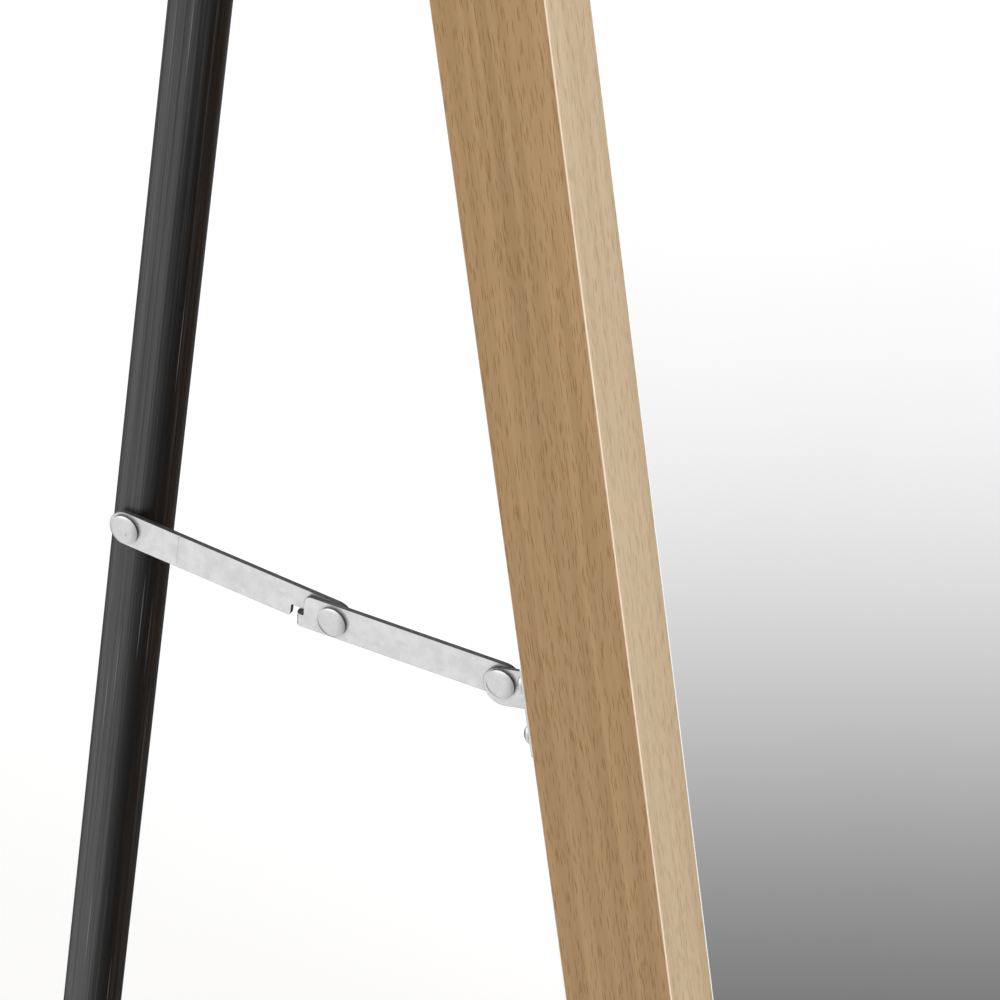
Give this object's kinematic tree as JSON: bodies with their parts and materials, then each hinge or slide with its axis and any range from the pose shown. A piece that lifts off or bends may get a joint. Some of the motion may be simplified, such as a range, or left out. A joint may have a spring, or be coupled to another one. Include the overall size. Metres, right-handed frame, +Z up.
{
  "type": "easel-back floor mirror",
  "caption": "Tall floor mirror in a square-edged beech frame, leaning back on a hinged black U-shaped tube stand held open by folding plated-steel stays.",
  "frame": {"origin": "centre of the object's footprint on the floor, below the middle of its bounding box", "axes": "+Z up, the mirror faces -Y and leans back, X runs across the mirror"},
  "size_m": [0.5, 0.3672, 1.4946],
  "materials": {
    "beech": "clear satin lacquer, straight pale grain with fine dark flecks",
    "dowel_wood": "raw beech",
    "hardboard": "smooth brown fibre board",
    "mirror": "silvered float glass",
    "tape": "white foam tape",
    "black_tube": "satin black with fine lengthwise marks",
    "zinc_plate": "dull zinc plate on sheet steel",
    "rivet_steel": "bright zinc plate",
    "zinc_screws": "zinc plated screws",
    "black_plastic": "moulded black plastic",
    "black_rubber": "soft black rubber"
  },
  "bodies": {
    "frame": {"backing_board": "hardboard", "backing_board_screws": "zinc_screws", "frame_foot_left": "black_plastic", "frame_foot_right": "black_plastic", "frame_foot_screws": "zinc_screws", "hinge_bracket_left": "zinc_plate", "hinge_bracket_right": "zinc_plate", "hinge_bracket_screws": "zinc_screws", "hinge_rivet_left": "rivet_steel", "hinge_rivet_right": "rivet_steel", "mirror_glass": "mirror", "mirror_tape": "tape", "mitre_dowels": "dowel_wood", "rail_bottom": "beech", "rail_top": "beech", "stay_bracket_left": "zinc_plate", "stay_bracket_right": "zinc_plate", "stay_bracket_rivet_left": "rivet_steel", "stay_bracket_rivet_right": "rivet_steel", "stay_bracket_screws": "zinc_screws", "stile_left": "beech", "stile_right": "beech"},
    "stand": {"stand_foot_left": "black_rubber", "stand_foot_right": "black_rubber", "stand_tube": "black_tube", "stay_leg_rivet_left": "rivet_steel", "stay_leg_rivet_right": "rivet_steel", "tube_cap_left": "black_plastic", "tube_cap_right": "black_plastic"},
    "leg_stay_left": {"leg_link_left": "zinc_plate", "knee_tail_left": "rivet_steel"},
    "frame_stay_left": {"frame_link_left": "zinc_plate", "knee_rivet_left": "rivet_steel"},
    "leg_stay_right": {"leg_link_right": "zinc_plate", "knee_tail_right": "rivet_steel"},
    "frame_stay_right": {"frame_link_right": "zinc_plate", "knee_rivet_right": "rivet_steel"}
  },
  "joints": [
    {"name": "stand_hinge", "type": "hinge", "parent": "frame", "child": "stand", "pos_m": [0, 0.02151, 1.03559], "axis": [-1, 0, 0], "range_deg": [0, 16]},
    {"name": "leg_stay_pivot_left", "type": "hinge", "parent": "stand", "child": "leg_stay_left", "pos_m": [-0.2377, 0.08338, 0.61146], "axis": [1, 0, 0], "range_deg": [0, 79.97]},
    {"name": "frame_stay_pivot_left", "type": "hinge", "parent": "frame", "child": "frame_stay_left", "pos_m": [-0.23905, -0.05068, 0.59741], "axis": [-1, 0, 0], "range_deg": [0, 101.83]},
    {"name": "leg_stay_pivot_right", "type": "hinge", "parent": "stand", "child": "leg_stay_right", "pos_m": [0.2377, 0.08338, 0.61146], "axis": [1, 0, 0], "range_deg": [0, 79.97]},
    {"name": "frame_stay_pivot_right", "type": "hinge", "parent": "frame", "child": "frame_stay_right", "pos_m": [0.23905, -0.05068, 0.59741], "axis": [-1, 0, 0], "range_deg": [0, 101.83]}
  ],
  "couplings": [
    {"joint": "leg_stay_pivot_left", "follows": "stand_hinge", "ratio": 4.9981},
    {"joint": "frame_stay_pivot_left", "follows": "stand_hinge", "ratio": 6.3641},
    {"joint": "leg_stay_pivot_right", "follows": "stand_hinge", "ratio": 4.9981},
    {"joint": "frame_stay_pivot_right", "follows": "stand_hinge", "ratio": 6.3641}
  ]
}
